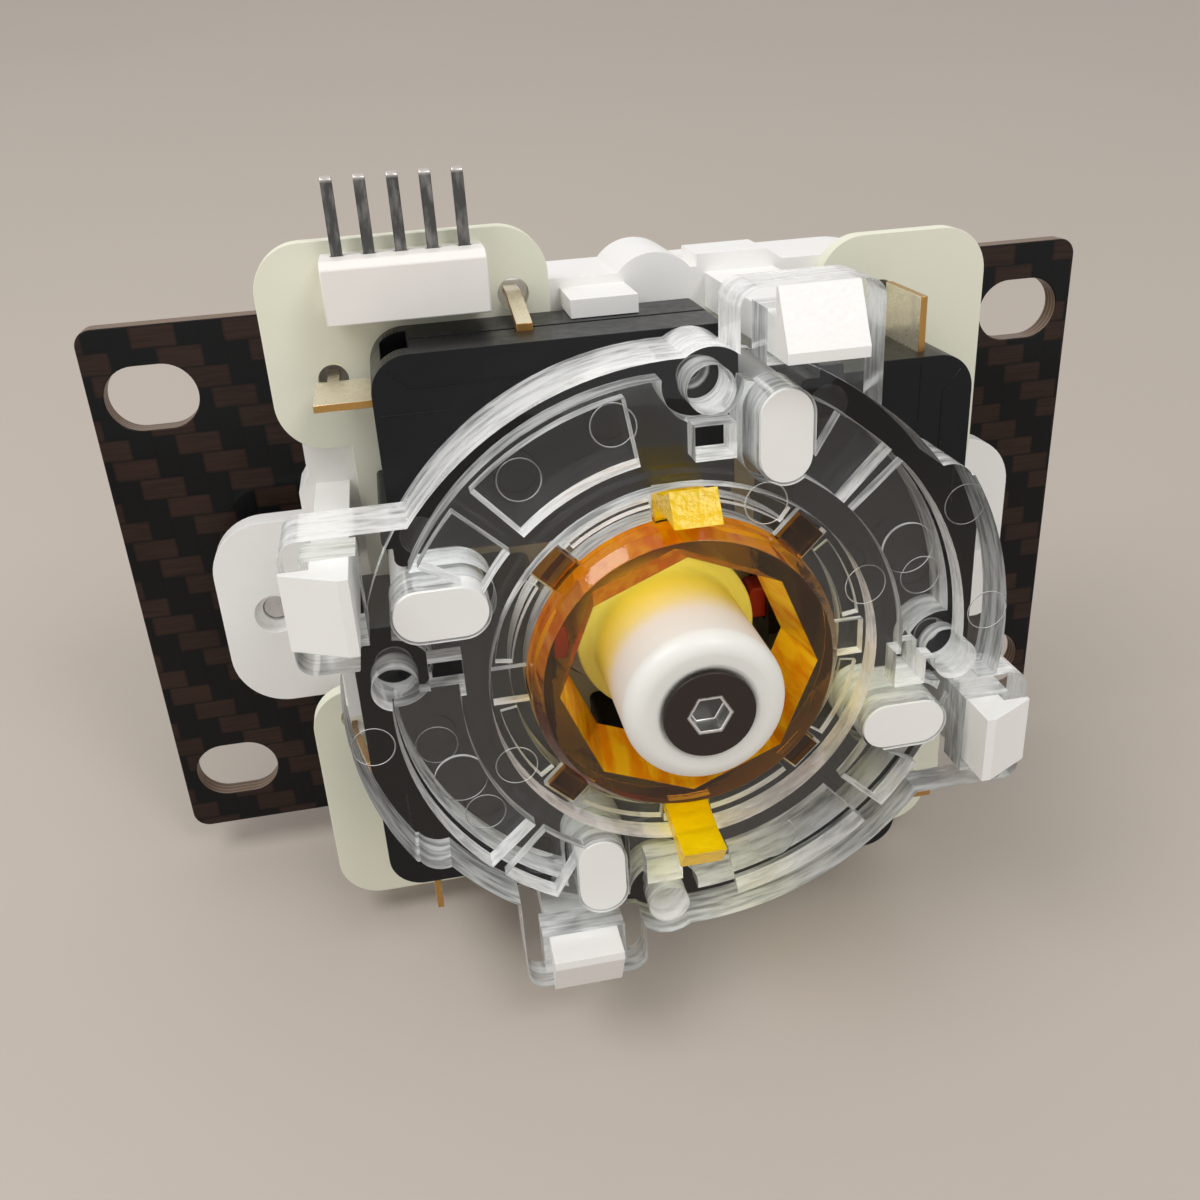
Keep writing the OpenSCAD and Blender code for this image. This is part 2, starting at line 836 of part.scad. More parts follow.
module spring_seat() {
    lip_in = spring_mean_r + wire_r + seat_gap;
    color([0.85, 0.85, 0.85]) difference() {
        union() {
            disc(seat_ring_out, spring_seat_z, spring_face_z - seat_gap);
            disc(lip_in + seat_lip_w, spring_seat_z - seat_lip_t, spring_seat_z);
        }
        disc(seat_ring_in, spring_seat_z - cut, spring_face_z + cut);
        disc(lip_in, spring_seat_z - seat_lip_t - cut, spring_seat_z);
    }
}

// Ring of points of the wire at a share of the spring's length
function wire_ring(share) =
    let (
        low = cup_z + wire_r + seat_gap,
        high = spring_seat_z - wire_r - seat_gap,
        a = 360 * spring_turns * share,
        z = low + (high - low) * share
    )
    [for (k = [0 : spring_sides - 1])
        let (
            b = 360 * k / spring_sides,
            r = spring_mean_r + wire_r * cos(b)
        )
        [r * cos(a), r * sin(a), z + wire_r * sin(b)]];

module return_spring() {
    rings = ceil(spring_turns * spring_steps);
    points = [for (i = [0 : rings]) each wire_ring(i / rings)];
    sides = [for (i = [0 : rings - 1], k = [0 : spring_sides - 1])
        let (next = (k + 1) % spring_sides)
        [i * spring_sides + k, i * spring_sides + next,
            (i + 1) * spring_sides + next, (i + 1) * spring_sides + k]];
    start = [[for (k = [spring_sides - 1 : -1 : 0]) k]];
    end = [[for (k = [0 : spring_sides - 1]) rings * spring_sides + k]];
    color([0.72, 0.73, 0.75]) polyhedron(points, concat(sides, start, end), convexity = 8);
}

// Lever

module shaft() {
    color([0.78, 0.78, 0.80]) difference() {
        union() {
            disc(shaft_r, shaft_low_z, ball_flat_z - seat_gap, small_fn);
            disc(thread_r, ball_flat_z - cut, ball_flat_z + thread_l, small_fn);
        }
        difference() {
            disc(shaft_r + cut, clip_z, clip_z + clip_t, small_fn);
            disc(groove_r, clip_z - cut, clip_z + clip_t + cut, small_fn);
        }
        disc(screw_shank_r + seat_gap, shaft_low_z - cut, screw_tip_z + cut, small_fn);
    }
}

module shaft_clip() {
    color([0.55, 0.56, 0.58]) difference() {
        disc(clip_r, clip_z + seat_gap, clip_z + clip_t - seat_gap, small_fn);
        disc(groove_r + seat_gap, clip_z - cut, clip_z + clip_t + cut, small_fn);
    }
}

module ball_top() {
    color([0.07, 0.07, 0.08]) difference() {
        intersection() {
            translate([0, 0, ball_top_z]) sphere(r = ball_top_r, $fn = round_fn);
            disc(ball_top_r, ball_flat_z, ball_top_z + ball_top_r);
        }
        disc(thread_r + seat_gap, ball_flat_z - cut, ball_flat_z + thread_l + cut, small_fn);
    }
}

module actuator_profile() {
    low = -actuator_depth;
    bore = shaft_r + seat_gap;
    difference() {
        union() {
            translate([0, step_z]) square([actuator_r, rim_z - step_z]);
            translate([0, low + near_fillet]) square([actuator_neck_r, step_z - low - near_fillet + cut]);
            translate([0, low]) square([actuator_neck_r - near_fillet, near_fillet + cut]);
            translate([actuator_neck_r - near_fillet, low + near_fillet])
                circle(r = near_fillet, $fn = small_fn);
            difference() {
                translate([0, step_z - step_fillet]) square([actuator_neck_r + step_fillet, step_fillet]);
                translate([actuator_neck_r + step_fillet, step_z - step_fillet])
                    circle(r = step_fillet, $fn = small_fn);
            }
        }
        translate([-cut, cup_z]) square([cup_r + cut, rim_z - cup_z + cut]);
        translate([-cut, shaft_low_z - seat_gap]) square([bore + cut, cup_z - shaft_low_z + cut]);
        translate([-cut, low - cut]) square([screw_shank_r + seat_gap + cut, nose_t + 2 * cut]);
        polygon([
            [0, low - cut],
            [countersink_z - low + cut, low - cut],
            [0, countersink_z]
        ]);
    }
}

module actuator() {
    color([0.96, 0.95, 0.92]) rotate_extrude($fn = round_fn) actuator_profile();
}

module actuator_screw() {
    hex_r = hex_af / 2 / cos(30);
    color([0.06, 0.06, 0.06]) difference() {
        union() {
            disc(head_r, head_z, head_z + head_land, small_fn);
            cone(head_r, screw_shank_r, head_z + head_land, head_z + head_cone_h);
            disc(screw_shank_r, head_z + head_cone_h, screw_tip_z, small_fn);
        }
        disc(hex_r, head_z - cut, head_z + hex_d, 6);
    }
}

mounting_plate();
plate_screws();
main_housing();
circuit_board();
header_body();
header_pins();
switch_case();  // switch_case_front
rotate(90) switch_case();  // switch_case_right
rotate(180) switch_case();  // switch_case_back
rotate(270) switch_case();  // switch_case_left
switch_terminals();  // switch_terminals_front
rotate(90) switch_terminals();  // switch_terminals_right
rotate(180) switch_terminals();  // switch_terminals_back
rotate(270) switch_terminals();  // switch_terminals_left
plunger();  // plunger_front
rotate(90) plunger();  // plunger_right
rotate(180) plunger();  // plunger_back
rotate(270) plunger();  // plunger_left
guide_base();
octagon_guide();
pivot_liner();
pivot_ball();
spring_seat();
return_spring();
shaft();
shaft_clip();
ball_top();
actuator();
actuator_screw();
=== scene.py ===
"""Looks of an eight-way arcade joystick lever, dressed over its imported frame.

Every piece of the frame is shown as a copy with rounded edges and a finish of its own. The ball top, the
raised lines on the switch cases and the ejector rings on the clear guide are surfaces worked out here.
"""

import json
import logging
import math
from dataclasses import dataclass
from enum import Enum
from typing import Any, Protocol

import bmesh
import bpy
import numpy as np
from mathutils import Matrix, Vector


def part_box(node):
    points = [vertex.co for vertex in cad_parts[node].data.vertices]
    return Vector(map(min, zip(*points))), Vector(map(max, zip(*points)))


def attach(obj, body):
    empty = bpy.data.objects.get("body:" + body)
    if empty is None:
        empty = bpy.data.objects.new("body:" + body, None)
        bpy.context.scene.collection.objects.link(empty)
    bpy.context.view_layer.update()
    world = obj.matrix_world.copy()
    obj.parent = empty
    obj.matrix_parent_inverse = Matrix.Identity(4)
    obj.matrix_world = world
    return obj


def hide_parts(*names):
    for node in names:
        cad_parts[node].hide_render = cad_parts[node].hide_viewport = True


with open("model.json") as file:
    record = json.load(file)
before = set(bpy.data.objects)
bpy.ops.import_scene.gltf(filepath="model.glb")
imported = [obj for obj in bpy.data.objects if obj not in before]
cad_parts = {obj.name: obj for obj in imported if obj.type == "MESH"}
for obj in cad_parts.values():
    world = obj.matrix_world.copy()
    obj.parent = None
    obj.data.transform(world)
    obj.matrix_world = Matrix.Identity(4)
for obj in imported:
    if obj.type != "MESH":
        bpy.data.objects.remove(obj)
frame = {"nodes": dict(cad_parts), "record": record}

LOG = logging.getLogger("joystick")
MM = 0.001
Colour = tuple[float, float, float]
Triple = tuple[float, float, float]
Socket = bpy.types.NodeSocket
SIDES = ("front", "right", "back", "left")
NOISE_SPREAD = (0.3, 0.7)
MERGE_GAP = 0.001 * MM
FLAT_ANGLE = math.radians(0.5)
EDGE_ANGLE = math.radians(30)
EDGE_SEGMENTS = 2
FLAT_WEIGHT = 100
RIDGE_POINTS = 7


# Graphs


class Graph:
    """A material's node tree, with short ways to add and link its nodes."""

    def __init__(self, name: str) -> None:
        """Start a material whose tree holds only an output.

        Args:
            name: Name of the material.
        """
        self.material = bpy.data.materials.new(name)
        self.material.use_nodes = True
        self.tree = self.material.node_tree
        self.tree.nodes.clear()
        self.output = self.add("ShaderNodeOutputMaterial")

    def add(self, kind: str, **settings: Any) -> bpy.types.Node:
        """Add a node and set its properties.

        Args:
            kind: Blender's type name of the node.
            settings: Properties by name.

        Returns:
            The new node.
        """
        node = self.tree.nodes.new(kind)
        for key, value in settings.items():
            setattr(node, key, value)
        return node

    def link(self, source: Socket, target: Socket) -> None:
        """Link an output to an input."""
        self.tree.links.new(source, target)

    def feed(self, target: Socket, value: Any) -> None:
        """Link a socket to an input, or set the input to a plain value.

        Args:
            target: The input.
            value: An output socket, a number or a colour.
        """
        if isinstance(value, Socket):
            self.link(value, target)
        elif isinstance(value, tuple) and target.type == "RGBA":
            target.default_value = (*value, 1.0)
        else:
            target.default_value = value

    def place(self, scale: Triple = (1.0, 1.0, 1.0)) -> Socket:
        """Object coordinates, scaled.

        Args:
            scale: Scale along each axis.

        Returns:
            The mapped coordinates.
        """
        source = self.add("ShaderNodeTexCoord")
        mapping = self.add("ShaderNodeMapping")
        mapping.inputs["Scale"].default_value = scale
        self.link(source.outputs["Object"], mapping.inputs["Vector"])
        return mapping.outputs["Vector"]

    def axes(self, scale: float = 1.0) -> tuple[Socket, Socket, Socket]:
        """Object coordinates as three numbers, all scaled alike.

        Args:
            scale: The scale.

        Returns:
            The x, y and z outputs.
        """
        split = self.add("ShaderNodeSeparateXYZ")
        self.link(self.place((scale, scale, scale)), split.inputs[0])
        return tuple(split.outputs)

    def facing(self, axis: int) -> Socket:
        """How squarely the surface looks along an axis, from 0 to 1.

        Args:
            axis: 0, 1 or 2 for x, y or z.

        Returns:
            The size of the normal's share on that axis.
        """
        source = self.add("ShaderNodeTexCoord")
        split = self.add("ShaderNodeSeparateXYZ")
        self.link(source.outputs["Normal"], split.inputs[0])
        return self.math("ABSOLUTE", split.outputs[axis])

    def math(self, operation: str, a: Any, b: Any = 0.0, c: Any = 0.0) -> Socket:
        """One sum on numbers.

        Args:
            operation: Name of the Math operation.
            a: First value.
            b: Second value.
            c: Third value.

        Returns:
            The result.
        """
        node = self.add("ShaderNodeMath", operation=operation)
        for socket, value in zip(node.inputs, (a, b, c)):
            self.feed(socket, value)
        return node.outputs[0]

    def radius(self, x: Socket, y: Socket) -> Socket:
        """Distance from the z axis, as the root of the sum of the two squares."""
        return self.math("SQRT", self.math("MULTIPLY_ADD", x, x, self.math("MULTIPLY", y, y)))

    def mix(self, share: Any, a: Any, b: Any) -> Socket:
        """Blend two colours.

        Args:
            share: Share of the second colour.
            a: First colour.
            b: Second colour.

        Returns:
            The blended colour.
        """
        node = self.add("ShaderNodeMix", data_type="RGBA")
        for socket, value in zip((node.inputs[0], node.inputs[6], node.inputs[7]), (share, a, b)):
            self.feed(socket, value)
        return node.outputs[2]

    def ramp(self, value: Any, low: float, high: float, to_low: Any = 0.0, to_high: Any = 1.0) -> Socket:
        """Map a number from one range to another, with its ends held.

        Args:
            value: The number.
            low: Start of the range it comes from.
            high: End of the range it comes from.
            to_low: Start of the new range.
            to_high: End of the new range.

        Returns:
            The mapped number.
        """
        node = self.add("ShaderNodeMapRange")
        for socket, number in zip(node.inputs, (value, low, high, to_low, to_high)):
            self.feed(socket, number)
        return node.outputs[0]

    def vary(self, pattern: Socket, to_low: float = 0.0, to_high: float = 1.0) -> Socket:
        """Spread a noise over a range.

        Args:
            pattern: The noise, which seldom leaves its usual spread.
            to_low: Start of the range.
            to_high: End of the range.

        Returns:
            The number in that range.
        """
        return self.ramp(pattern, *NOISE_SPREAD, to_low, to_high)

    def noise(self, size: float, detail: float = 3.0, stretch: Triple = (1.0, 1.0, 1.0)) -> Socket:
        """Noise whose features have about one size.

        Args:
            size: Size of a feature in metres.
            detail: Octaves of finer noise.
            stretch: Scale of each axis, where a low value draws the noise out.

        Returns:
            The noise from 0 to 1.
        """
        node = self.add("ShaderNodeTexNoise")
        node.inputs["Scale"].default_value = 1.0 / size
        node.inputs["Detail"].default_value = detail
        self.link(self.place(stretch), node.inputs["Vector"])
        return node.outputs["Fac"]

    def bump(self, height: Any, depth: float, strength: float = 1.0) -> Socket:
        """Normals of a height pattern.

        Args:
            height: The pattern from 0 to 1.
            depth: Depth of the pattern in metres.
            strength: Share of the effect.

        Returns:
            The normal.
        """
        node = self.add("ShaderNodeBump")
        node.inputs["Strength"].default_value = strength
        node.inputs["Distance"].default_value = depth
        self.feed(node.inputs["Height"], height)
        return node.outputs["Normal"]

    def surface(self, **values: Any) -> bpy.types.Node:
        """Finish the tree with the general shader.

        Args:
            values: Inputs of the shader, with spaces written as underscores.

        Returns:
            The shader node.
        """
        shader = self.add("ShaderNodeBsdfPrincipled")
        for key, value in values.items():
            self.feed(shader.inputs[key.replace("_", " ")], value)
        self.link(shader.outputs["BSDF"], self.output.inputs["Surface"])
        return shader

    def pass_lamps(self, shader: bpy.types.Node, tint: Colour) -> None:
        """Let the lamps' light through a clear surface, so that what lies behind it isn't in full shadow.

        Args:
            shader: The surface's shader.
            tint: Colour that the light takes at each face.
        """
        path = self.add("ShaderNodeLightPath")
        clear = self.add("ShaderNodeBsdfTransparent")
        choose = self.add("ShaderNodeMixShader")
        self.feed(clear.inputs["Color"], tint)
        self.link(path.outputs["Is Shadow Ray"], choose.inputs[0])
        self.link(shader.outputs["BSDF"], choose.inputs[1])
        self.link(clear.outputs["BSDF"], choose.inputs[2])
        self.link(choose.outputs["Shader"], self.output.inputs["Surface"])


def shaded(colour: Colour, share: float) -> Colour:
    """A colour at a share of its strength."""
    return tuple(c * share for c in colour)


# Finishes


class Finish(Protocol):
    """Anything that can make a material."""

    name: str

    def material(self) -> bpy.types.Material:
        """Make the material."""
        ...


@dataclass(frozen=True)
class Moulding:
    """Opaque moulded plastic with a fine grain and slight mottling."""

    name: str
    colour: Colour
    roughness: float = 0.4
    mottle: float = 0.04
    grain: float = 0.35 * MM
    grain_depth: float = 0.01 * MM
    glow: float = 0.0
    coat: float = 0.0
    gloss: float = 0.5
    cloud: float = 6 * MM
    glow_reach: float = 1.2 * MM
    glow_tint: Triple = (1.0, 0.96, 0.85)

    def base(self, g: Graph) -> Socket:
        """The colour, mottled by soft noise."""
        return g.mix(g.vary(g.noise(self.cloud, 4)), self.colour, shaded(self.colour, 1 - 3 * self.mottle))

    def material(self) -> bpy.types.Material:
        """Make the material.

        Returns:
            Mottled base colour, and roughness and bump from a fine grain.
        """
        g = Graph(self.name)
        grain = g.noise(self.grain, 2)
        shader = g.surface(
            Base_Color=self.base(g),
            Roughness=g.vary(grain, self.roughness * 0.85, self.roughness * 1.15),
            Normal=g.bump(grain, self.grain_depth),
            Coat_Weight=self.coat,
            Specular_IOR_Level=self.gloss,
        )
        if self.glow:
            shader.inputs["Subsurface Weight"].default_value = self.glow
            shader.inputs["Subsurface Radius"].default_value = self.glow_tint
            shader.inputs["Subsurface Scale"].default_value = self.glow_reach
        return g.material


@dataclass(frozen=True)
class SleeveMoulding(Moulding):
    """White moulding with painted light: a yellow for the light that the amber octagon round it lets through.
    """

    # Painted light: this yellow and its height ramp stand in for light through the amber octagon.
    painted_amber_light: Colour = (0.93, 0.92, 0.12)
    painted_amber_light_share: float = 0.78
    painted_amber_light_low: float = -31.5 * MM
    painted_amber_light_high: float = -26 * MM

    def base(self, g: Graph) -> Socket:
        """The mottled white, with painted amber light that grows up the sleeve."""
        _, _, z = g.axes()
        # Share of the painted amber light, rising with height.
        share = g.ramp(z, self.painted_amber_light_low, self.painted_amber_light_high, 0.0, self.painted_amber_light_share)
        return g.mix(share, super().base(g), self.painted_amber_light)


@dataclass(frozen=True)
class ClearMoulding:
    """Clear moulded plastic that is see-through on its flats and frosted on its drafted walls and edges."""

    name: str = "clear_moulding"
    colour: Colour = (0.97, 0.98, 0.98)
    frost: Colour = (0.93, 0.93, 0.92)
    frost_share: float = 0.85
    frost_roughness: float = 0.14
    index: float = 1.5
    gloss: float = 0.38
    cloud: float = 1.5 * MM
    band: float = 0.9 * MM
    band_stretch: Triple = (0.22, 0.22, 1.0)
    wave: float = 5 * MM
    wave_depth: float = 0.03 * MM
    lamp_share: float = 0.95

    def material(self) -> bpy.types.Material:
        """Make the material.

        Returns:
            Clear plastic with faint flow waves. The frost grows as the surface turns from the flat to the
            upright, and lies in bands along the walls.
        """
        g = Graph(self.name)
        wall = g.ramp(g.facing(2), 0.7, 0.97, 1.0, 0.0)
        dullness = g.ramp(g.noise(self.cloud), 0.5, 0.8, 0.0, 0.03)
        bands = g.ramp(g.noise(self.band, 3, self.band_stretch), 0.38, 0.6, 0.4, 1.0)
        frosted = g.math("MULTIPLY", wall, g.math("MULTIPLY", bands, self.frost_share))
        shader = g.surface(
            Base_Color=g.mix(wall, self.colour, self.frost),
            Roughness=g.math("MULTIPLY_ADD", wall, self.frost_roughness, dullness),
            Normal=g.bump(g.noise(self.wave, 2), self.wave_depth),
            Transmission_Weight=g.math("SUBTRACT", 1.0, frosted),
            IOR=self.index,
            Specular_IOR_Level=self.gloss,
        )
        g.pass_lamps(shader, shaded(self.colour, self.lamp_share))
        return g.material


@dataclass(frozen=True)
class AmberMoulding:
    """Amber moulded plastic with glowing octagon walls, yellow latch tabs and corner teeth tinted dark as
    painted shade.
    """

    name: str = "amber_moulding"
    wall: Colour = (0.98, 0.50, 0.002)
    shade: Colour = (0.86, 0.30, 0.003)
    streak: Colour = (1.0, 0.60, 0.015)
    tab: Colour = (1.0, 0.74, 0.002)
    # Painted shade: the teeth's dark brown stands in for the dark that shows through them.
    tooth_shade: Colour = (0.30, 0.12, 0.008)
    light: Colour = (1.0, 0.97, 0.60)
    wall_haze: float = 0.74
    tab_haze: float = 0.5
    index: float = 1.5
    gloss: float = 0.25
    ripple: float = 0.9 * MM
    ripple_depth: float = 0.15 * MM
    flow: float = 1.3 * MM
    flow_stretch: Triple = (1.0, 1.0, 0.22)
    gate_r: float = 10.9 * MM
    tab_reach: float = 13.0 * MM
    tab_half: float = 2.2 * MM

    def material(self) -> bpy.types.Material:
        """Make the material.

        Returns:
            Amber plastic that is hazy on the octagon's upright walls and on the tabs, with light and dark
            streaks up the walls. Beyond the collar, what lies near the y axis is a tab and the rest is one of
            the teeth, whose dark brown tint is painted shade.
        """
        g = Graph(self.name)
        x, y, _ = g.axes()
        radius = g.radius(x, y)
        beyond = g.math("GREATER_THAN", radius, self.tab_reach)
        middle = g.math("LESS_THAN", g.math("ABSOLUTE", x), self.tab_half)
        tab = g.math("MULTIPLY", beyond, middle)
        # Where the teeth take the painted shade.
        tooth_shade = g.math("SUBTRACT", beyond, tab)
        upright = g.ramp(g.facing(2), 0.4, 0.8, self.wall_haze, 0.0)
        inner = g.math("MULTIPLY", upright, g.math("LESS_THAN", radius, self.gate_r))
        haze = g.math("MAXIMUM", inner, g.math("MULTIPLY", tab, self.tab_haze))
        ripple = g.noise(self.ripple)
        flow = g.ramp(g.noise(self.flow, 4, self.flow_stretch), 0.42, 0.60)
        amber = g.mix(g.ramp(inner, 0.0, self.wall_haze), self.wall, g.mix(flow, self.shade, self.streak))
        height = g.math("MULTIPLY", ripple, g.math("MULTIPLY_ADD", tab, 0.85, 0.15))
        shader = g.surface(
            Base_Color=g.mix(tooth_shade, g.mix(tab, amber, self.tab), self.tooth_shade),
            Roughness=g.math("MULTIPLY_ADD", tab, 0.12, g.vary(ripple, 0.04, 0.1)),
            Normal=g.bump(height, self.ripple_depth),
            Transmission_Weight=g.math("SUBTRACT", 1.0, haze),
            IOR=self.index,
            Specular_IOR_Level=self.gloss,
        )
        g.pass_lamps(shader, self.light)
        return g.material


@dataclass(frozen=True)
class Twill:
    """Two-by-two twill of carbon tows under clear resin, with painted sheen on the tows and a bare cut edge.
    """

    name: str = "carbon_twill"
    tow: float = 2.0 * MM
    shift: tuple[float, float] = (2.4, 0.2)
    # dark is the plain fibre; warp and weft are painted sheen, the light that each direction of tow takes.
    dark: Colour = (0.0022, 0.0024, 0.0027)
    warp: Colour = (0.0042, 0.0042, 0.0044)
    weft: Colour = (0.040, 0.0195, 0.0135)
    edge: Colour = (0.24, 0.16, 0.11)
    ply_turn: float = 22.0
    fibre: float = 0.16 * MM
    cloud: float = 12 * MM
    depth: float = 0.04 * MM
    gloss: float = 0.12
    coat: float = 0.16

    def material(self) -> bpy.types.Material:
        """Make the material.

        Returns:
            A cell is weft where (column - row) modulo 4 is 2 or more, and warp elsewhere, so a tow floats
            over two cells. A float is level in its middle and falls off by a sine at its ends and sides. The
            tows' colour is painted sheen, brightest where a float is level, brown on the weft and near black
            on the warp.
        """
        g = Graph(self.name)
        x, y, z = g.axes(1 / self.tow)
        x, y = g.math("ADD", x, self.shift[0]), g.math("ADD", y, self.shift[1])
        column, row = g.math("FLOOR", x), g.math("FLOOR", y)
        step = g.math("FLOORED_MODULO", g.math("SUBTRACT", column, row), 4.0)
        weft = g.math("GREATER_THAN", step, 1.5)
        along_weft = g.math("FLOORED_MODULO", g.math("SUBTRACT", x, row), 2.0)
        along_warp = g.math("FLOORED_MODULO", g.math("SUBTRACT", y, g.math("ADD", column, 1.0)), 2.0)
        across = g.mix(weft, g.math("FRACT", x), g.math("FRACT", y))
        along = g.mix(weft, along_warp, along_weft)
        side = g.math("SINE", g.math("MULTIPLY", across, math.pi))
        end = g.math("SINE", g.math("MULTIPLY", along, math.pi / 2))
        level = g.math("MULTIPLY", g.ramp(side, -0.1, 0.3), g.ramp(end, -0.1, 0.2))
        fibres = g.mix(
            weft, g.noise(self.fibre, 2, (1.0, 0.05, 1.0)), g.noise(self.fibre, 2, (0.05, 1.0, 1.0))
        )
        drift = g.vary(g.noise(self.cloud, 2), 0.65)
        # Painted sheen: bright where a float is level, fading to the plain dark fibre at its ends and sides.
        painted_sheen = g.math("MULTIPLY", g.math("MULTIPLY", level, drift), g.ramp(fibres, 0.35, 0.65, 0.6, 1.0))
        tone = g.mix(painted_sheen, self.dark, g.mix(weft, self.warp, self.weft))
        layer = g.math("MULTIPLY_ADD", g.math("SINE", g.math("MULTIPLY", z, self.ply_turn)), 0.5, 0.5)
        edge = g.mix(layer, self.edge, shaded(self.edge, 0.45))
        cut = g.math("LESS_THAN", g.facing(2), 0.5)
        g.surface(
            Base_Color=g.mix(cut, tone, edge),
            Roughness=g.vary(fibres, 0.35, 0.5),
            Normal=g.bump(g.math("MULTIPLY_ADD", fibres, 0.2, level), self.depth, 0.4),
            Specular_IOR_Level=self.gloss,
            Coat_Weight=self.coat,
            Coat_Roughness=0.1,
        )
        return g.material


@dataclass(frozen=True)
class Laminate:
    """Pale glass-and-resin board whose four tabs carry a greenish film short of their edges.

    A tab is a box in the board's own terms: along the side that it stands on, and out from the shaft. A
    quarter turn carries one tab to the next.
    """

    name: str = "board_laminate"
    bare: Colour = (0.90, 0.86, 0.80)
    film: Colour = (0.70, 0.79, 0.71)
    stain: Colour = (0.85, 0.76, 0.58)
    left: float = -30.4 * MM
    right: float = -6.7 * MM
    near: float = 16.8 * MM
    out: float = 32.2 * MM
    header_out: float = 33.7 * MM
    inset: float = 1.9 * MM
    corner: float = 3 * MM
    blur: float = 0.4 * MM
    patch: float = 9 * MM
    cloud: float = 7 * MM
    streak: float = 0.45 * MM
    grain: float = 1.2 * MM
    thread: float = 0.6 * MM
    thread_depth: float = 0.012 * MM

    def film_share(self, g: Graph) -> Socket:
        """Where the film lies.

        Args:
            g: The material's graph.

        Returns:
            1 where a tab's least distance to its four edges, smoothed at the corners, is over the inset.
        """
        x, y, _ = g.axes()
        minus_x, minus_y = g.math("MULTIPLY", x, -1.0), g.math("MULTIPLY", y, -1.0)
        total = 0.0
        for along, away in ((x, minus_y), (y, x), (minus_x, y), (minus_y, minus_x)):
            out = self.header_out if away is minus_y else self.out
            sideways = g.math(
                "MINIMUM", g.math("SUBTRACT", along, self.left), g.math("SUBTRACT", self.right, along)
            )
            outwards = g.math("MINIMUM", g.math("SUBTRACT", away, self.near), g.math("SUBTRACT", out, away))
            depth = g.math("SMOOTH_MIN", sideways, outwards, self.corner)
            total = g.math("MAXIMUM", total, g.ramp(depth, self.inset, self.inset + self.blur))
        return g.math("MULTIPLY", total, g.math("GREATER_THAN", g.facing(2), 0.5))

    def material(self) -> bpy.types.Material:
        """Make the material.

        Returns:
            Film over bare resin, stained by soft clouds, with a bump of crossed sines for the glass threads.
        """
        g = Graph(self.name)
        film = self.film_share(g)
        patchy = g.math("MULTIPLY", film, g.ramp(g.noise(self.patch, 2), 0.38, 0.6, 0.15, 1.0))
        base = g.mix(patchy, self.bare, self.film)
        base = g.mix(g.ramp(g.noise(self.cloud), 0.5, 0.8, 0.0, 0.5), base, self.stain)
        streak = g.noise(self.streak, 2, (1.0, 0.06, 1.0))
        base = g.mix(g.ramp(streak, 0.4, 0.75, 0.0, 0.3), base, shaded(self.stain, 0.8))
        x, y, _ = g.axes(2 * math.pi / self.thread)
        weave = g.math("MULTIPLY", g.math("SINE", x), g.math("SINE", y))
        g.surface(
            Base_Color=base,
            Roughness=g.math("MULTIPLY_ADD", film, -0.12, g.vary(g.noise(self.grain), 0.36, 0.5)),
            Normal=g.bump(g.math("MULTIPLY_ADD", weave, 0.5, 0.5), self.thread_depth, 0.6),
        )
        return g.material


@dataclass(frozen=True)
class Metal:
    """Plated or drawn metal with fine lines and slight tarnish."""

    name: str
    colour: Colour
    tarnish: Colour
    roughness: float = 0.28
    line: float = 0.12 * MM
    line_depth: float = 0.006 * MM
    stretch: Triple = (1.0, 1.0, 0.06)
    cloud: float = 1.6 * MM

    def material(self) -> bpy.types.Material:
        """Make the material.

        Returns:
            Metal with stretched noise for drawing lines and clouds of tarnish.
        """
        g = Graph(self.name)
        lines = g.noise(self.line, 2, self.stretch)
        g.surface(
            Base_Color=g.mix(g.ramp(g.noise(self.cloud, 4), 0.45, 0.75), self.colour, self.tarnish),
            Metallic=1.0,
            Roughness=g.vary(lines, self.roughness * 0.7, self.roughness * 1.4),
            Normal=g.bump(lines, self.line_depth),
        )
        return g.material


@dataclass(frozen=True)
class Stamping:
    """Plated strip with pale faces, and brown edges where the stamp cut it."""

    name: str
    axis: int
    face: Colour = (0.93, 0.84, 0.66)
    cut: Colour = (0.46, 0.25, 0.07)
    metal_share: float = 0.75
    scuff: float = 1.3 * MM
    scuff_depth: float = 0.008 * MM

    def material(self) -> bpy.types.Material:
        """Make the material.

        Returns:
            Metal that is pale where it looks along the strip's thickness, and brown elsewhere.
        """
        g = Graph(self.name)
        flat = g.ramp(g.facing(self.axis), 0.6, 0.8)
        scuff = g.noise(self.scuff, 2)
        face = g.mix(g.ramp(scuff, 0.5, 0.8), self.face, shaded(self.face, 0.85))
        g.surface(
            Base_Color=g.mix(flat, self.cut, face),
            Metallic=self.metal_share,
            Roughness=g.vary(scuff, 0.2, 0.38),
            Normal=g.bump(scuff, self.scuff_depth),
        )
        return g.material


@dataclass(frozen=True)
class PinPlating:
    """Dull plated pins that shine at their tips."""

    tip_y: float
    name: str = "pin_plating"
    body: Colour = (0.16, 0.155, 0.15)
    tip: Colour = (0.62, 0.58, 0.54)
    tip_length: float = 0.5 * MM
    blotch: float = 0.7 * MM
    blotch_depth: float = 0.02 * MM

    def material(self) -> bpy.types.Material:
        """Make the material.

        Returns:
            Metal that turns bright over the last stretch before the tips' plane, with blotches in between.
        """
        g = Graph(self.name)
        _, y, _ = g.axes()
        bright = g.ramp(y, self.tip_y + 0.4 * self.tip_length, self.tip_y + self.tip_length, 1.0, 0.0)
        blotch = g.noise(self.blotch, 4, (1.0, 0.3, 1.0))
        body = g.mix(g.ramp(blotch, 0.45, 0.75), shaded(self.body, 0.6), shaded(self.body, 2.0))
        g.surface(
            Base_Color=g.mix(bright, body, self.tip),
            Metallic=1.0,
            Roughness=g.vary(blotch, 0.25, 0.42),
            Normal=g.bump(blotch, self.blotch_depth),
        )
        return g.material


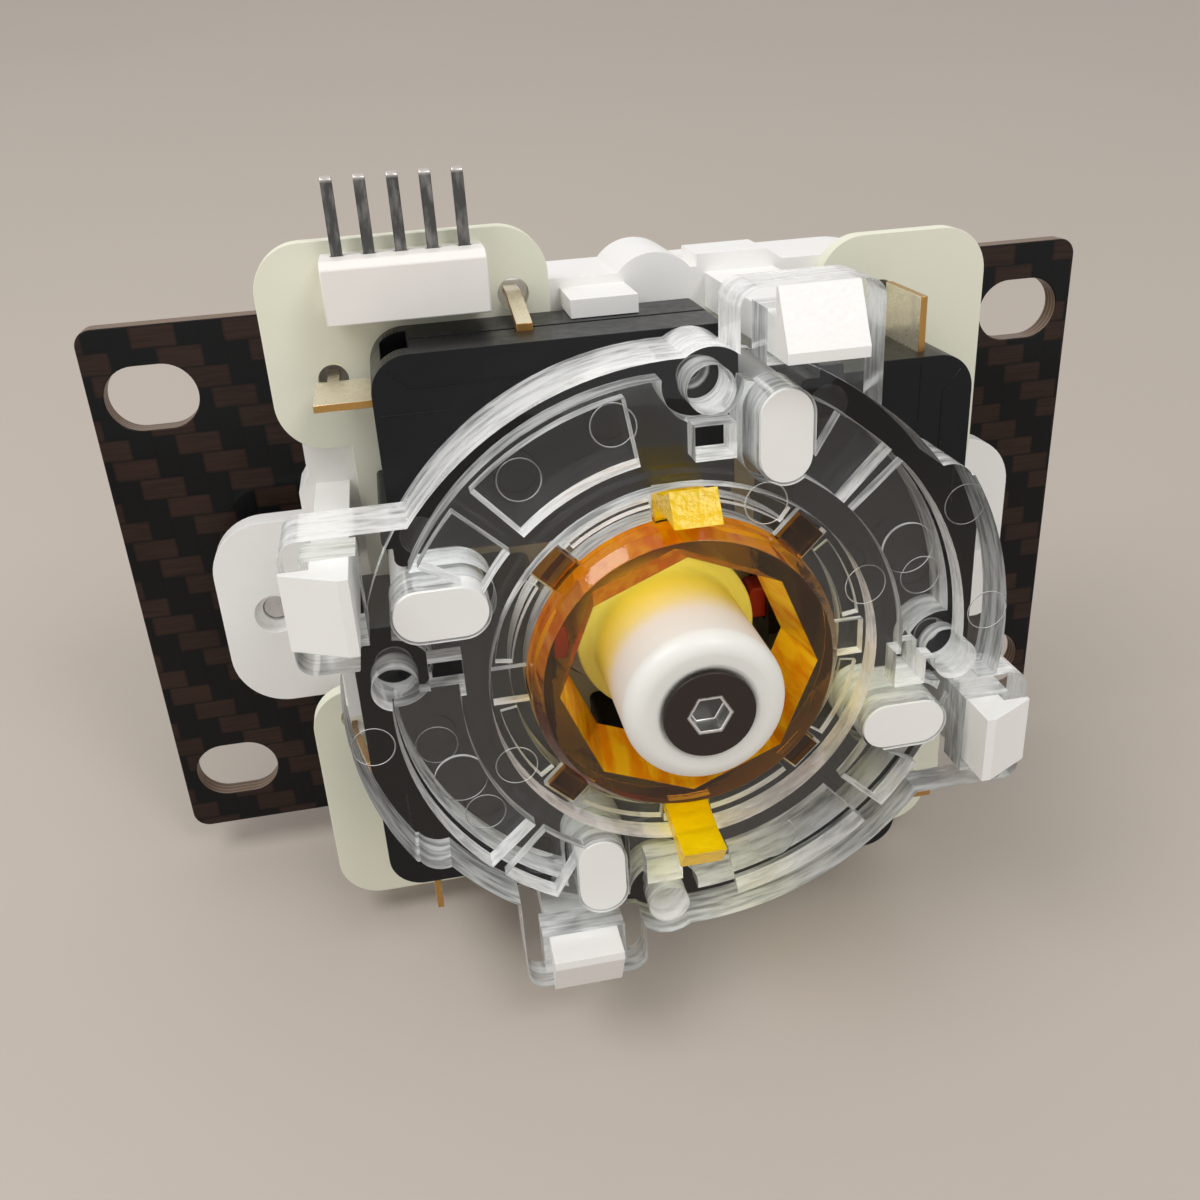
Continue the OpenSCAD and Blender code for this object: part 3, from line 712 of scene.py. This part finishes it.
@dataclass(frozen=True)
class BlackedScrew:
    """Blacked screw head with a bright socket rim: partly wear of the blacking, partly a painted highlight.
    """

    name: str = "blacked_screw"
    blacking: Colour = (0.034, 0.024, 0.021)
    # Painted highlight with wear: the rim's bright metal stands partly for wear and partly for light along
    # the edge.
    wear_and_highlight: Colour = (0.80, 0.79, 0.77)
    half_across: float = 1.35 * MM
    inside_share: float = 0.13
    rim: float = 0.34 * MM
    rag: float = 0.4 * MM
    rag_depth: float = 0.12 * MM
    ring: float = 0.12 * MM
    ring_depth: float = 0.002 * MM
    cloud: float = 0.8 * MM
    gloss: float = 0.4

    def material(self) -> bpy.types.Material:
        """Make the material.

        Returns:
            Satin black metal with faint turning rings. The distance across the hexagon is the greatest of the
            three distances along its flats' normals, and it is bright in a rim just outside the socket, which
            is partly wear and partly a painted highlight. The socket's inside takes a dim share of the same
            colour.
        """
        g = Graph(self.name)
        x, y, _ = g.axes()
        slant, half = g.math("MULTIPLY", x, math.cos(math.pi / 6)), g.math("MULTIPLY", y, 0.5)
        flats = (y, g.math("ADD", slant, half), g.math("SUBTRACT", slant, half))
        across = 0.0
        for flat in flats:
            across = g.math("MAXIMUM", across, g.math("ABSOLUTE", flat))
        ragged = g.math("MULTIPLY_ADD", g.noise(self.rag), self.rag_depth, across)
        # The bright rim: partly wear, partly a painted highlight.
        rim = g.ramp(ragged, self.half_across + 0.5 * self.rim, self.half_across + self.rim, 1.0, 0.0)
        inside = g.math("LESS_THAN", across, self.half_across - 0.3 * self.rim)
        rings = g.math("SINE", g.math("MULTIPLY", g.radius(x, y), 2 * math.pi / self.ring))
        colour = g.mix(inside, g.mix(rim, self.blacking, self.wear_and_highlight), shaded(self.wear_and_highlight, self.inside_share))
        g.surface(
            Base_Color=colour,
            Metallic=g.math("MULTIPLY_ADD", rim, 0.6, 0.4),
            Roughness=g.vary(g.noise(self.cloud), 0.3, 0.42),
            Normal=g.bump(g.math("MULTIPLY_ADD", rings, 0.5, 0.5), self.ring_depth, 0.5),
            Specular_IOR_Level=self.gloss,
        )
        return g.material


class Palette(Enum):
    """The finishes of the lever's pieces."""

    TWILL = Twill()
    WHITE = Moulding("white_moulding", (0.90, 0.89, 0.87), roughness=0.38, mottle=0.01)
    HEADER = Moulding("header_moulding", (0.89, 0.855, 0.81), roughness=0.42, mottle=0.012)
    SLEEVE = SleeveMoulding("sleeve_moulding", (0.84, 0.835, 0.79), roughness=0.4, mottle=0.01, glow=0.3)
    BLACK = Moulding(
        "black_moulding",
        (0.006, 0.0064, 0.0076),
        roughness=0.33,
        mottle=0.08,
        grain=1.1 * MM,
        grain_depth=0.003 * MM,
        gloss=0.24,
    )
    RED = Moulding("red_moulding", (0.50, 0.03, 0.015), roughness=0.35, mottle=0.05)
    GREY = Moulding("grey_moulding", (0.10, 0.10, 0.11), roughness=0.45, mottle=0.05)
    BALL = Moulding(
        "polished_ball", (0.012, 0.012, 0.013), roughness=0.14, mottle=0.05, grain_depth=0.001 * MM, coat=0.6
    )
    CLEAR = ClearMoulding()
    AMBER = AmberMoulding()
    BOARD = Laminate()
    STRIP_ACROSS = Stamping("strip_across", axis=1)
    STRIP_ALONG = Stamping("strip_along", axis=0)
    PINS = PinPlating(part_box("header_pins")[0][1])
    STEEL = Metal("plated_steel", (0.62, 0.62, 0.63), (0.50, 0.50, 0.51), roughness=0.2)
    SPRING = Metal("spring_wire", (0.55, 0.55, 0.56), (0.40, 0.40, 0.41), roughness=0.3)
    SCREW = BlackedScrew()

    def material(self) -> bpy.types.Material:
        """Make the finish's material once and hand it out again."""
        finish: Finish = self.value
        return bpy.data.materials.get(finish.name) or finish.material()


# Pieces


def body_of(node: str) -> str:
    """The body that a frame piece belongs to."""
    return next(b for b, nodes in frame["record"]["behaviour"]["bodies"].items() if node in nodes)


def show(name: str, mesh: bpy.types.Mesh, finish: Palette, node: str) -> bpy.types.Object:
    """Put a mesh into the scene as a piece of the lever.

    Args:
        name: Name of the piece.
        mesh: Its mesh, with its place in it.
        finish: Its finish.
        node: The frame piece that it stands for or sits on, whose body it takes.

    Returns:
        The piece.
    """
    mesh.materials.clear()
    mesh.materials.append(finish.material())
    mesh.polygons.foreach_set("use_smooth", np.ones(len(mesh.polygons), bool))
    mesh.set_sharp_from_angle(angle=EDGE_ANGLE)
    piece = bpy.data.objects.new(name, mesh)
    bpy.context.scene.collection.objects.link(piece)
    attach(piece, body_of(node))
    LOG.info("%s: %d faces", name, len(mesh.polygons))
    return piece


def dressed_copy(node: str, finish: Palette, edge: float) -> bpy.types.Object:
    """Show a piece of the frame as a copy with rounded edges.

    The copy's doubled points are merged and its flat faces joined, and every edge that turns by more than a
    third of a right angle is rounded by a small bevel. The normal at each corner follows the largest face
    there, so the flats stay flat.

    Args:
        node: Name of the frame's piece.
        finish: Finish of the copy.
        edge: Width of the rounding in metres, or zero for none.

    Returns:
        The copy, which stands for the frame's piece.
    """
    mesh = bpy.data.meshes.new(node + "_shown")
    bm = bmesh.new()
    bm.from_mesh(frame["nodes"][node].data)
    bmesh.ops.remove_doubles(bm, verts=bm.verts, dist=MERGE_GAP)
    bmesh.ops.dissolve_limit(bm, angle_limit=FLAT_ANGLE, verts=bm.verts, edges=bm.edges, delimit={"NORMAL"})
    bm.to_mesh(mesh)
    bm.free()
    piece = show(node + "_shown", mesh, finish, node)
    if edge:
        bevel = piece.modifiers.new("rounding", "BEVEL")
        bevel.width = edge
        bevel.segments = EDGE_SEGMENTS
        bevel.limit_method = "ANGLE"
        bevel.angle_limit = EDGE_ANGLE
        bevel.use_clamp_overlap = True
        normals = piece.modifiers.new("flat_faces", "WEIGHTED_NORMAL")
        normals.mode = "FACE_AREA"
        normals.weight = FLAT_WEIGHT
        normals.keep_sharp = True
    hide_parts(node)
    return piece


def grid_faces(rows: int, columns: int, wrap_rows: bool) -> np.ndarray:
    """The four-cornered faces of a grid whose columns close on themselves.

    The corner at row i and column j has the number i times the columns plus j, and each face joins it to the
    next row and the next column.

    Args:
        rows: Rows of points.
        columns: Points in a row.
        wrap_rows: Whether the last row joins the first.

    Returns:
        The faces, one row of four numbers each.
    """
    i, j = np.meshgrid(np.arange(rows if wrap_rows else rows - 1), np.arange(columns), indexing="ij")
    below, beside = (i + 1) % rows, (j + 1) % columns
    corners = (i * columns + j, i * columns + beside, below * columns + beside, below * columns + j)
    return np.stack([c.ravel() for c in corners], axis=1)


def shell_mesh(name: str, shells: list[tuple[np.ndarray, np.ndarray]]) -> bpy.types.Mesh:
    """Join closed grids into one mesh, with poles merged, ends closed and faces turned outwards.

    Args:
        name: Name of the mesh.
        shells: Points, rows by columns by three, and faces of each grid.

    Returns:
        The mesh.
    """
    counts = np.cumsum([0] + [p.reshape(-1, 3).shape[0] for p, _ in shells])
    points = np.concatenate([p.reshape(-1, 3) for p, _ in shells])
    faces = np.concatenate([f + start for (_, f), start in zip(shells, counts)])
    mesh = bpy.data.meshes.new(name)
    mesh.from_pydata(points.tolist(), [], faces.tolist())
    bm = bmesh.new()
    bm.from_mesh(mesh)
    bmesh.ops.remove_doubles(bm, verts=bm.verts, dist=MERGE_GAP)
    bmesh.ops.holes_fill(bm, edges=[e for e in bm.edges if e.is_boundary], sides=0)
    bmesh.ops.recalc_face_normals(bm, faces=bm.faces)
    bm.to_mesh(mesh)
    bm.free()
    return mesh


def turned(profile: np.ndarray, steps: int) -> tuple[np.ndarray, np.ndarray]:
    """A profile turned round the z axis.

    A profile point of radius r and height z gives (r cos a, r sin a, z) at each angle a.

    Args:
        profile: Radius and height of each point, one row each.
        steps: Angles in a full turn.

    Returns:
        Points and faces of the grid.
    """
    a = np.linspace(0, 2 * np.pi, steps, endpoint=False)
    r, z = profile[:, :1], profile[:, 1:]
    points = np.stack([r * np.cos(a), r * np.sin(a), z + 0 * a], axis=2)
    return points, grid_faces(len(profile), steps, False)


def ridge(path: np.ndarray, height: float, closed: bool) -> tuple[np.ndarray, np.ndarray]:
    """A low round-topped ridge that follows a path on a face that looks down.

    At each path point the ridge's section stands square to the path. It is a half circle whose points lie at
    (height cos a, height sin a) across and down, closed on the face by its own diameter.

    Args:
        path: Points of the path, one row each.
        height: Height of the ridge, and half its width.
        closed: Whether the path ends where it starts.

    Returns:
        Points and faces of the grid.
    """
    ahead = np.roll(path, -1, axis=0) - np.roll(path, 1, axis=0)
    if not closed:
        ahead[0], ahead[-1] = path[1] - path[0], path[-1] - path[-2]
    ahead /= np.linalg.norm(ahead, axis=1, keepdims=True)
    down = np.array([0.0, 0.0, -1.0])
    aside = np.cross(ahead, down)
    a = np.linspace(0, np.pi, RIDGE_POINTS)
    across, drop = height * np.cos(a), height * np.sin(a)
    points = path[:, None] + across[None, :, None] * aside[:, None] + drop[None, :, None] * down
    return points, grid_faces(len(path), len(a), closed)


# Sub-assemblies


@dataclass
class Assembly:
    """Pieces that belong together."""

    def dress(self, finishes: dict[str, tuple[Palette, float]]) -> None:
        """Show frame pieces with a finish and rounded edges.

        Args:
            finishes: Finish and edge width of each piece.
        """
        for node, (finish, edge) in finishes.items():
            dressed_copy(node, finish, edge)


@dataclass
class Mounting(Assembly):
    """The carbon plate, the white housing under it and the screws that join them."""

    plate_edge: float = 0.12 * MM
    housing_edge: float = 0.35 * MM
    screw_edge: float = 0.08 * MM

    def build(self) -> None:
        """Dress the three nodes."""
        self.dress(
            {
                "mounting_plate": (Palette.TWILL, self.plate_edge),
                "main_housing": (Palette.WHITE, self.housing_edge),
                "plate_screws": (Palette.STEEL, self.screw_edge),
            }
        )


@dataclass
class Circuit(Assembly):
    """The board and its five-pin header."""

    board_edge: float = 0.1 * MM
    header_edge: float = 0.15 * MM
    pin_edge: float = 0.08 * MM

    def build(self) -> None:
        """Dress the three nodes."""
        self.dress(
            {
                "circuit_board": (Palette.BOARD, self.board_edge),
                "header_body": (Palette.HEADER, self.header_edge),
                "header_pins": (Palette.PINS, self.pin_edge),
            }
        )


@dataclass
class SwitchRing(Assembly):
    """Four snap switches round the shaft, with their terminals and plungers.

    The lines are given for the front switch, along it and out from the shaft, and quarter turns carry them
    round.
    """

    case_edge: float = 0.25 * MM
    strip_edge: float = 0.06 * MM
    plunger_edge: float = 0.2 * MM
    line_height: float = 0.07 * MM
    cover_line: tuple[tuple[float, float], ...] = ((-20.8, 25.4), (-19.1, 23.95), (-10.2, 23.95))
    short_line: tuple[tuple[float, float], ...] = ((-21.75, 21.95), (-16.65, 21.95))

    def build(self) -> None:
        """Dress the four of each kind, then raise the lines on their cases."""
        for turn, side in enumerate(SIDES):
            strip = Palette.STRIP_ALONG if turn % 2 else Palette.STRIP_ACROSS
            self.dress(
                {
                    f"switch_case_{side}": (Palette.BLACK, self.case_edge),
                    f"switch_terminals_{side}": (strip, self.strip_edge),
                    f"plunger_{side}": (Palette.RED, self.plunger_edge),
                }
            )
            self.lines(turn, side)

    def lines(self, turn: int, side: str) -> None:
        """Raised lines on the case's lower face.

        A front point at (along, out) stands at (along, -out), and n quarter turns carry (x, y) to (-y, x) n
        times.

        Args:
            turn: Quarter turns from the front switch.
            side: Name of the switch's side.
        """
        node = f"switch_case_{side}"
        face_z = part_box(node)[0][2]
        angle = turn * math.pi / 2
        turning = np.array([[math.cos(angle), math.sin(angle)], [-math.sin(angle), math.cos(angle)]])
        shells = []
        for line in (self.cover_line, self.short_line):
            flat = np.array(line) * (MM, -MM) @ turning
            path = np.column_stack([flat, np.full(len(flat), face_z)])
            shells.append(ridge(path, self.line_height, False))
        show(f"case_lines_{side}", shell_mesh(f"case_lines_{side}", shells), Palette.BLACK, node)


@dataclass
class Guide(Assembly):
    """The clear guide base and the amber octagon that sets the lever's travel."""

    base_edge: float = 0.18 * MM
    octagon_edge: float = 0.15 * MM
    ring_height: float = 0.045 * MM
    ring_r: float = 1.7 * MM
    ring_points: int = 40
    face_rings: tuple[tuple[float, float], ...] = (
        (-25.7, 2.5), (6.5, -14.0), (23.0, -11.8), (14.9, -5.9), (25.8, -2.0), (-14.6, 6.2),
    )
    pocket_rings: tuple[tuple[float, float], ...] = (
        (-20.8, 4.4), (-17.5, 11.7), (20.55, -5.1), (-12.1, -17.5), (-4.8, -20.9),
    )
    pocket_depth: float = 2.0 * MM

    def build(self) -> None:
        """Dress the two nodes, then raise the marks that the mould's ejector pins left."""
        self.dress(
            {
                "guide_base": (Palette.CLEAR, self.base_edge),
                "octagon_guide": (Palette.AMBER, self.octagon_edge),
            }
        )
        shells = [self.ring(x, y, self.face_z()) for x, y in self.face_rings]
        shells += [self.ring(x, y, self.face_z() + self.pocket_depth) for x, y in self.pocket_rings]
        show("ejector_rings", shell_mesh("ejector_rings", shells), Palette.CLEAR, "guide_base")

    def face_z(self) -> float:
        """Height of the base's lower face."""
        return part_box("guide_base")[0][2]

    def ring(self, x: float, y: float, z: float) -> tuple[np.ndarray, np.ndarray]:
        """A round ridge, whose path is (x + r cos a, y + r sin a, z).

        Args:
            x: Place of its centre along x in millimetres.
            y: Place of its centre along y in millimetres.
            z: Height of the face that carries it.

        Returns:
            Points and faces of the grid.
        """
        a = np.linspace(0, 2 * np.pi, self.ring_points, endpoint=False)
        path = np.column_stack(
            [x * MM + self.ring_r * np.cos(a), y * MM + self.ring_r * np.sin(a), np.full(a.size, z)]
        )
        return ridge(path, self.ring_height, True)


@dataclass
class Pivot(Assembly):
    """The ball joint and the spring that brings the lever back."""

    ball_edge: float = 0.2 * MM
    liner_edge: float = 0.1 * MM
    seat_edge: float = 0.08 * MM

    def build(self) -> None:
        """Dress the four nodes."""
        self.dress(
            {
                "pivot_liner": (Palette.GREY, self.liner_edge),
                "pivot_ball": (Palette.WHITE, self.ball_edge),
                "spring_seat": (Palette.STEEL, self.seat_edge),
                "return_spring": (Palette.SPRING, 0.0),
            }
        )


@dataclass
class Stick(Assembly):
    """The shaft with its clip, ball top, white actuator and screw."""

    shaft_edge: float = 0.2 * MM
    clip_edge: float = 0.06 * MM
    sleeve_edge: float = 0.2 * MM
    screw_edge: float = 0.08 * MM
    ball_r: float = 17.5 * MM
    flat_edge: float = 0.5 * MM
    edge_run: float = 0.6 * MM
    edge_steps: int = 5
    bore_r: float = 3.05 * MM
    bore_depth: float = 11 * MM
    ball_steps: int = 96

    def build(self) -> None:
        """Dress the turned and moulded pieces, then make the ball."""
        self.dress(
            {
                "shaft": (Palette.STEEL, self.shaft_edge),
                "shaft_clip": (Palette.SPRING, self.clip_edge),
                "actuator": (Palette.SLEEVE, self.sleeve_edge),
                "actuator_screw": (Palette.SCREW, self.screw_edge),
            }
        )
        ball = show("ball_shown", shell_mesh("ball_shown", [self.ball()]), Palette.BALL, "ball_top")
        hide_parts("ball_top")

    def ball(self) -> tuple[np.ndarray, np.ndarray]:
        """The ball as one turned profile.

        It starts at the middle of the thread's end, runs down the bore and out along the flat, goes round a
        small quarter circle and follows the sphere, whose radius at angle b from its lowest point is r sin b.

        Returns:
            Points and faces of the grid.
        """
        low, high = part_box("ball_top")
        flat_z, centre_z = low[2], high[2] - self.ball_r
        flat_r = math.sqrt(self.ball_r**2 - (centre_z - flat_z) ** 2)
        start = math.asin(flat_r / self.ball_r) + self.edge_run / self.ball_r
        b = np.linspace(start, math.pi, self.ball_steps)
        sphere = np.column_stack([self.ball_r * np.sin(b), centre_z - self.ball_r * np.cos(b)])
        c = np.linspace(0, math.pi / 2, self.edge_steps, endpoint=False)
        inner = flat_r - self.flat_edge
        fillet = np.column_stack(
            [
                inner + (sphere[0, 0] - inner) * np.sin(c),
                flat_z + (sphere[0, 1] - flat_z) * (1 - np.cos(c)),
            ]
        )
        bore = np.array(
            [[0.0, flat_z + self.bore_depth], [self.bore_r, flat_z + self.bore_depth], [self.bore_r, flat_z]]
        )
        return turned(np.concatenate([bore, fillet, sphere]), self.ball_steps)


# Studio


@dataclass(frozen=True)
class Lamp:
    """A square soft lamp turned towards the lever. Its direction is seen from the lever."""

    name: str
    direction: Triple
    distance: float
    size: float
    watts: float


@dataclass
class Studio:
    """Table, soft lamps, world and camera.

    The lever lies on its ball and its board's rear tabs, so the table leans against the shaft's axis.
    """

    table_point: Triple = (0.0, 33.4 * MM, -12.8 * MM)
    table_normal: Triple = (0.0, -0.969, -0.247)
    table_size: float = 3.0
    table_colour: Colour = (0.51, 0.45, 0.395)
    table_cloud: float = 120 * MM
    table_roughness: float = 0.55
    lamps: tuple[Lamp, ...] = (
        Lamp("window", (-0.55, -0.80, -0.22), distance=0.42, size=0.20, watts=0.70),
        Lamp("ceiling", (0.35, -0.75, -0.62), distance=0.50, size=0.16, watts=0.55),
    )
    lamp_aim: Triple = (0.0, 0.0, -20 * MM)
    camera_place: Triple = (-19.70 * MM, -46.55 * MM, -109.59 * MM)
    camera_right: Triple = (0.9809, 0.0568, -0.1862)
    camera_up: Triple = (0.1315, -0.8987, 0.4185)
    lens: float = 34.6
    sensor: float = 36.0
    nearest: float = 5 * MM
    farthest: float = 10.0
    light: tuple[Colour, float] = ((1.0, 0.985, 0.965), 0.63)
    ground: tuple[Colour, float] = ((0.93, 0.92, 0.91), 0.85)

    def build(self) -> None:
        """Make the table, the lamps, the world and the camera."""
        self.table()
        for lamp in self.lamps:
            self.hang(lamp)
        self.world()
        self.camera()

    def table(self) -> None:
        """A wide plain table that is seen from its upper side only."""
        turn = Vector(self.table_normal).to_track_quat("Z", "Y").to_matrix()
        half = self.table_size / 2
        corners = np.array([[-half, -half, 0], [half, -half, 0], [half, half, 0], [-half, half, 0]])
        points = corners @ np.array(turn).T + np.array(self.table_point)
        mesh = bpy.data.meshes.new("table")
        mesh.from_pydata(points.tolist(), [], [(0, 1, 2, 3)])
        g = Graph("table_top")
        shader = g.surface(
            Base_Color=g.mix(g.noise(self.table_cloud), self.table_colour, shaded(self.table_colour, 0.93)),
            Roughness=self.table_roughness,
        )
        back = g.add("ShaderNodeNewGeometry")
        clear = g.add("ShaderNodeBsdfTransparent")
        choose = g.add("ShaderNodeMixShader")
        g.link(back.outputs["Backfacing"], choose.inputs[0])
        g.link(shader.outputs["BSDF"], choose.inputs[1])
        g.link(clear.outputs["BSDF"], choose.inputs[2])
        g.link(choose.outputs["Shader"], g.output.inputs["Surface"])
        mesh.materials.append(g.material)
        table = bpy.data.objects.new("table", mesh)
        bpy.context.scene.collection.objects.link(table)

    def hang(self, lamp: Lamp) -> None:
        """Hang a lamp, turned towards the lever.

        Args:
            lamp: Its sizes and power.
        """
        data = bpy.data.lights.new(lamp.name, "AREA")
        data.shape = "SQUARE"
        data.size = lamp.size
        data.energy = lamp.watts
        away = Vector(lamp.direction).normalized()
        piece = bpy.data.objects.new(lamp.name, data)
        piece.location = Vector(self.lamp_aim) + away * lamp.distance
        piece.rotation_mode = "QUATERNION"
        piece.rotation_quaternion = away.to_track_quat("Z", "Y")
        bpy.context.scene.collection.objects.link(piece)

    def world(self) -> None:
        """Even light from all round, and a pale ground for what looks past the table.

        The ground is what the camera, a reflection or a clear piece sees there.
        """
        world = bpy.data.worlds.new("studio")
        world.use_nodes = True
        tree = world.node_tree
        tree.nodes.clear()
        output = tree.nodes.new("ShaderNodeOutputWorld")
        path = tree.nodes.new("ShaderNodeLightPath")
        mix = tree.nodes.new("ShaderNodeMixShader")
        seen = path.outputs["Is Camera Ray"]
        for ray in ("Is Glossy Ray", "Is Transmission Ray"):
            either = tree.nodes.new("ShaderNodeMath")
            either.operation = "MAXIMUM"
            tree.links.new(seen, either.inputs[0])
            tree.links.new(path.outputs[ray], either.inputs[1])
            seen = either.outputs[0]
        for socket, (colour, strength) in ((1, self.light), (2, self.ground)):
            background = tree.nodes.new("ShaderNodeBackground")
            background.inputs["Color"].default_value = (*colour, 1.0)
            background.inputs["Strength"].default_value = strength
            tree.links.new(background.outputs[0], mix.inputs[socket])
        tree.links.new(seen, mix.inputs[0])
        tree.links.new(mix.outputs[0], output.inputs["Surface"])
        bpy.context.scene.world = world

    def camera(self) -> None:
        """The camera at the photograph's place, looking up at the lever's underside."""
        right = Vector(self.camera_right).normalized()
        up = (Vector(self.camera_up) - right * right.dot(Vector(self.camera_up))).normalized()
        data = bpy.data.cameras.new("camera")
        data.lens = self.lens
        data.sensor_width = self.sensor
        data.clip_start = self.nearest
        data.clip_end = self.farthest
        camera = bpy.data.objects.new("camera", data)
        turn = Matrix((right, up, right.cross(up))).transposed().to_4x4()
        camera.matrix_world = Matrix.Translation(Vector(self.camera_place)) @ turn
        bpy.context.scene.collection.objects.link(camera)
        bpy.context.scene.camera = camera


def main() -> None:
    """Build every part of the scene in order."""
    logging.basicConfig(level=logging.INFO, format="%(message)s")
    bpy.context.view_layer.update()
    bpy.context.scene.view_settings.view_transform = "Standard"
    for part in (Mounting(), Circuit(), SwitchRing(), Guide(), Pivot(), Stick(), Studio()):
        LOG.info("building %s", type(part).__name__)
        part.build()


if __name__ == "__main__":
    main()
